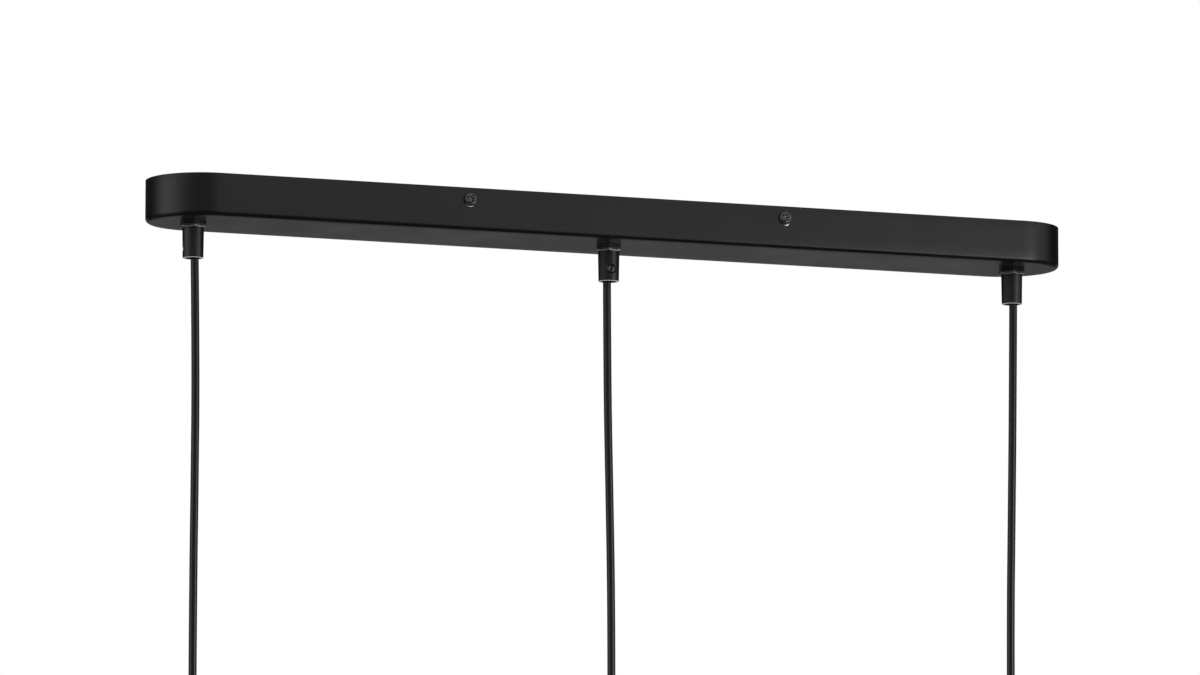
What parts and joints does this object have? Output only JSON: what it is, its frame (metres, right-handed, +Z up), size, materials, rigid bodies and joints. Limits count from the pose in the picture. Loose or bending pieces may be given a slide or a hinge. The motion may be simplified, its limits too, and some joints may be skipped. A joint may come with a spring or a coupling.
{
  "type": "linear island pendant",
  "caption": "Linear island pendant: long obround ceiling canopy with cord grips below it, each holding a hanging round cord that ends in a screw-shell lampholder with a shade ring.",
  "frame": {"origin": "centre of the ceiling plane that the canopy's rim and the bracket lie on", "axes": "+Z up, out of the ceiling face into the ceiling; X along the canopy, with the right-hand drop at +X; -Y is the front, the side the picture shows"},
  "size_m": [0.6, 0.075, 0.395],
  "materials": {
    "black_powder_coat": "fine-textured matte powder coat",
    "zinc_steel": "zinc plated",
    "black_screw_steel": "black plated, worn at the edges",
    "black_turned_metal": "satin black over turned brass",
    "black_pvc": "smooth PVC sheath",
    "brown_pvc": "PVC",
    "blue_pvc": "PVC",
    "green_yellow_pvc": "green PVC with a yellow stripe",
    "tinned_copper": "tinned",
    "brass": "bright",
    "white_nylon": "natural nylon",
    "black_nylon": "moulded",
    "black_phenolic": "satin moulded",
    "white_ceramic": "unglazed"
  },
  "bodies": {
    "ceiling_unit": {"canopy": "black_powder_coat", "ceiling_bracket": "zinc_steel", "canopy_screws": "black_screw_steel", "terminal_block": "white_nylon", "terminal_sleeves": "brass", "terminal_screws": "zinc_steel", "terminal_fixing_screw": "zinc_steel", "earth_screw": "zinc_steel", "earth_washer": "zinc_steel", "earth_lug": "tinned_copper", "earth_lead": "green_yellow_pvc", "threaded_nipples": "zinc_steel", "lock_nuts": "zinc_steel", "lock_washers": "zinc_steel", "outer_nuts": "black_turned_metal", "grip_screws": "black_screw_steel", "cord_grip_left": "black_turned_metal", "cord_sheath_left": "black_pvc", "brown_core_left": "brown_pvc", "blue_core_left": "blue_pvc", "cord_grip_middle": "black_turned_metal", "cord_sheath_middle": "black_pvc", "brown_core_middle": "brown_pvc", "blue_core_middle": "blue_pvc", "cord_grip_right": "black_turned_metal", "cord_sheath_right": "black_pvc", "brown_core_right": "brown_pvc", "blue_core_right": "blue_pvc"},
    "neck_left": {"cord_neck_left": "black_pvc"},
    "hanging_cord_left": {"cord_left": "black_pvc"},
    "lampholder_left": {"holder_relief_left": "black_nylon", "holder_cap_left": "black_phenolic", "holder_body_left": "black_phenolic", "contact_carrier_left": "white_ceramic", "screw_shell_left": "brass", "centre_contact_left": "brass"},
    "ring_left": {"shade_ring_left": "black_phenolic"},
    "neck_middle": {"cord_neck_middle": "black_pvc"},
    "hanging_cord_middle": {"cord_middle": "black_pvc"},
    "lampholder_middle": {"holder_relief_middle": "black_nylon", "holder_cap_middle": "black_phenolic", "holder_body_middle": "black_phenolic", "contact_carrier_middle": "white_ceramic", "screw_shell_middle": "brass", "centre_contact_middle": "brass"},
    "ring_middle": {"shade_ring_middle": "black_phenolic"},
    "neck_right": {"cord_neck_right": "black_pvc"},
    "hanging_cord_right": {"cord_right": "black_pvc"},
    "lampholder_right": {"holder_relief_right": "black_nylon", "holder_cap_right": "black_phenolic", "holder_body_right": "black_phenolic", "contact_carrier_right": "white_ceramic", "screw_shell_right": "brass", "centre_contact_right": "brass"},
    "ring_right": {"shade_ring_right": "black_phenolic"}
  },
  "joints": [
    {"name": "swing_along_left", "type": "hinge", "parent": "ceiling_unit", "child": "neck_left", "pos_m": [-0.2699, 0, -0.045], "axis": [0, 1, 0], "range_deg": [-15, 15]},
    {"name": "swing_across_left", "type": "hinge", "parent": "neck_left", "child": "hanging_cord_left", "pos_m": [-0.2699, 0, -0.0484], "axis": [1, 0, 0], "range_deg": [-15, 15]},
    {"name": "cord_height_left", "type": "slide", "parent": "hanging_cord_left", "child": "lampholder_left", "axis": [0, 0, 1], "range_m": [0, 0.18], "deforming": ["cord_left"]},
    {"name": "shade_ring_off_left", "type": "slide", "parent": "lampholder_left", "child": "ring_left", "axis": [0, 0, -1], "range_m": [0, 0.045]},
    {"name": "swing_along_middle", "type": "hinge", "parent": "ceiling_unit", "child": "neck_middle", "pos_m": [-0.0009, 0.0006, -0.045], "axis": [0, 1, 0], "range_deg": [-15, 15]},
    {"name": "swing_across_middle", "type": "hinge", "parent": "neck_middle", "child": "hanging_cord_middle", "pos_m": [-0.0009, 0.0006, -0.0484], "axis": [1, 0, 0], "range_deg": [-15, 15]},
    {"name": "cord_height_middle", "type": "slide", "parent": "hanging_cord_middle", "child": "lampholder_middle", "axis": [0, 0, 1], "range_m": [0, 0.18], "deforming": ["cord_middle"]},
    {"name": "shade_ring_off_middle", "type": "slide", "parent": "lampholder_middle", "child": "ring_middle", "axis": [0, 0, -1], "range_m": [0, 0.045]},
    {"name": "swing_along_right", "type": "hinge", "parent": "ceiling_unit", "child": "neck_right", "pos_m": [0.2715, -0.00095, -0.045], "axis": [0, 1, 0], "range_deg": [-15, 15]},
    {"name": "swing_across_right", "type": "hinge", "parent": "neck_right", "child": "hanging_cord_right", "pos_m": [0.2715, -0.00095, -0.0484], "axis": [1, 0, 0], "range_deg": [-15, 15]},
    {"name": "cord_height_right", "type": "slide", "parent": "hanging_cord_right", "child": "lampholder_right", "axis": [0, 0, 1], "range_m": [0, 0.18], "deforming": ["cord_right"]},
    {"name": "shade_ring_off_right", "type": "slide", "parent": "lampholder_right", "child": "ring_right", "axis": [0, 0, -1], "range_m": [0, 0.045]}
  ]
}
